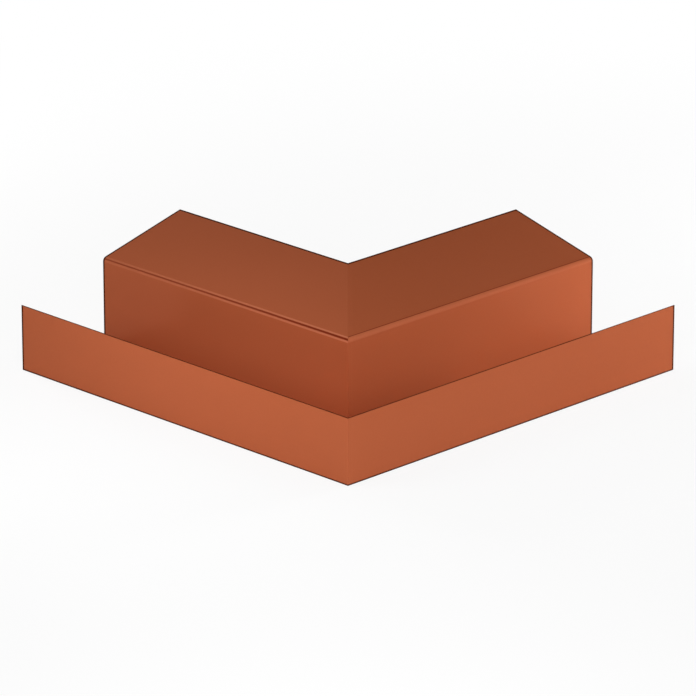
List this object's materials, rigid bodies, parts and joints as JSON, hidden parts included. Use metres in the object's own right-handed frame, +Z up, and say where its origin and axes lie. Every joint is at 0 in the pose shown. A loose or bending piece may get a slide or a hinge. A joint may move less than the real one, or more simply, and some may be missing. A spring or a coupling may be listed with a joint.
{
  "type": "gutter external angle",
  "caption": "Outside corner of a box gutter, folded from coated sheet and mitred, with an open trough and an eaves flange that slopes up behind it.",
  "frame": {"origin": "on the underside of the base, where the centre lines of the two runs cross", "axes": "+Z up; +X along the first run from the corner, +Y along the second run; the building stands on the +X, +Y side, between the runs"},
  "size_m": [0.5, 0.5, 0.129],
  "materials": {
    "coated_sheet": "satin"
  },
  "bodies": {
    "root": {"gutter_angle": "coated_sheet"}
  },
  "joints": []
}
